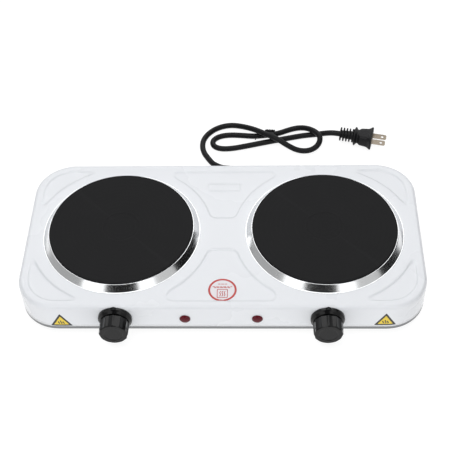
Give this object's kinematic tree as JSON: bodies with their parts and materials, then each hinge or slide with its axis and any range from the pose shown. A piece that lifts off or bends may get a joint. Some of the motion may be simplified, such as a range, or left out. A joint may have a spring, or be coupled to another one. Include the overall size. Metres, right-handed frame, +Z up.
{
  "type": "double electric hot plate",
  "caption": "White enamelled tabletop cooker with round cast-iron plates in chromed rings, front control knobs, indicator lamps, feet and a looped power cord with a plug",
  "frame": {"origin": "on the table, under the middle of the body with its knobs", "axes": "+X to the right along the length, +Y to the rear, away from the knobs, +Z up"},
  "size_m": [0.426, 0.3433, 0.0564],
  "materials": {
    "white_enamel": "glossy white vitreous enamel on pressed steel",
    "galvanised_steel": "dull galvanised sheet",
    "zinc_steel": "zinc-plated fasteners",
    "rubber_black": "matt moulded rubber",
    "cast_iron": "matt black stove paint on turned cast iron",
    "chrome_ring": "bright chromed and spun steel",
    "element_wire": "oxidised sheathed heating wire",
    "cement": "fired magnesia cement",
    "ceramic": "unglazed steatite",
    "brass_strip": "rolled strip",
    "bright_steel": "turned steel",
    "bakelite_black": "glossy black phenolic moulding",
    "lens_red": "dark red clear moulding",
    "lamp_glass": "clear glass bulb",
    "label_yellow": "printed film, yellow with a black border",
    "label_white": "printed film, white with a red ring",
    "pvc_black": "satin black flexible PVC",
    "clamp_plastic": "black nylon",
    "wire_sleeve": "white glass-braid sleeve",
    "plug_pvc": "satin black moulded PVC",
    "nickel_brass": "nickel-plated brass",
    "tie_plastic": "black plastic-covered wire tie"
  },
  "bodies": {
    "housing": {"base_pan": "galvanised_steel", "cable_tie": "tie_plastic", "clamp_screws": "zinc_steel", "clamp_strap_left": "galvanised_steel", "clamp_strap_right": "galvanised_steel", "cord_clamp": "clamp_plastic", "element_terminal_left": "ceramic", "element_terminal_right": "ceramic", "foot_front_left": "rubber_black", "foot_front_right": "rubber_black", "foot_rear_left": "rubber_black", "foot_rear_right": "rubber_black", "foot_screws": "zinc_steel", "heating_coil_left": "element_wire", "heating_coil_right": "element_wire", "hot_plate_left": "cast_iron", "hot_plate_right": "cast_iron", "indicator_lamp_left": "lamp_glass", "indicator_lamp_right": "lamp_glass", "indicator_lens_left": "lens_red", "indicator_lens_right": "lens_red", "inner_cord": "pvc_black", "insulating_cement_left": "cement", "insulating_cement_right": "cement", "knob_bezel_left": "bakelite_black", "knob_bezel_right": "bakelite_black", "lamp_clips": "bright_steel", "lead_wires": "wire_sleeve", "mounting_brackets": "galvanised_steel", "plate_cover_left": "galvanised_steel", "plate_cover_right": "galvanised_steel", "plate_stud_left": "zinc_steel", "plate_stud_right": "zinc_steel", "plug_blades": "nickel_brass", "plug_body": "plug_pvc", "power_cord": "pvc_black", "round_label": "label_white", "spill_ring_left": "chrome_ring", "spill_ring_right": "chrome_ring", "strain_relief": "pvc_black", "strap_nuts": "zinc_steel", "strap_washers": "zinc_steel", "terminal_block": "ceramic", "terminal_screws": "brass_strip", "thermostat_blade_left": "brass_strip", "thermostat_blade_right": "brass_strip", "thermostat_body_left": "ceramic", "thermostat_body_right": "ceramic", "thermostat_bracket_left": "galvanised_steel", "thermostat_bracket_right": "galvanised_steel", "thermostat_nuts": "zinc_steel", "top_housing": "white_enamel", "warning_labels": "label_yellow"},
    "knob_left_body": {"knob_left": "bakelite_black", "thermostat_shaft_left": "bright_steel"},
    "contact_pin_left_body": {"contact_pin_left": "ceramic"},
    "knob_right_body": {"knob_right": "bakelite_black", "thermostat_shaft_right": "bright_steel"},
    "contact_pin_right_body": {"contact_pin_right": "ceramic"}
  },
  "joints": [
    {"name": "knob_left_turn", "type": "hinge", "parent": "housing", "child": "knob_left_body", "pos_m": [-0.1091, -0.09245, 0.0307], "axis": [0, 1, 0], "range_deg": [0, 300]},
    {"name": "contact_pin_left_slide", "type": "slide", "parent": "housing", "child": "contact_pin_left_body", "axis": [0, 1, 0], "range_m": [0, 0.0009]},
    {"name": "knob_right_turn", "type": "hinge", "parent": "housing", "child": "knob_right_body", "pos_m": [0.1091, -0.09245, 0.0307], "axis": [0, 1, 0], "range_deg": [0, 300]},
    {"name": "contact_pin_right_slide", "type": "slide", "parent": "housing", "child": "contact_pin_right_body", "axis": [0, 1, 0], "range_m": [0, 0.0009]}
  ],
  "couplings": [
    {"joint": "contact_pin_left_slide", "follows": "knob_left_turn", "m_per_rad": 0.00016234},
    {"joint": "contact_pin_right_slide", "follows": "knob_right_turn", "m_per_rad": 0.00016234}
  ]
}
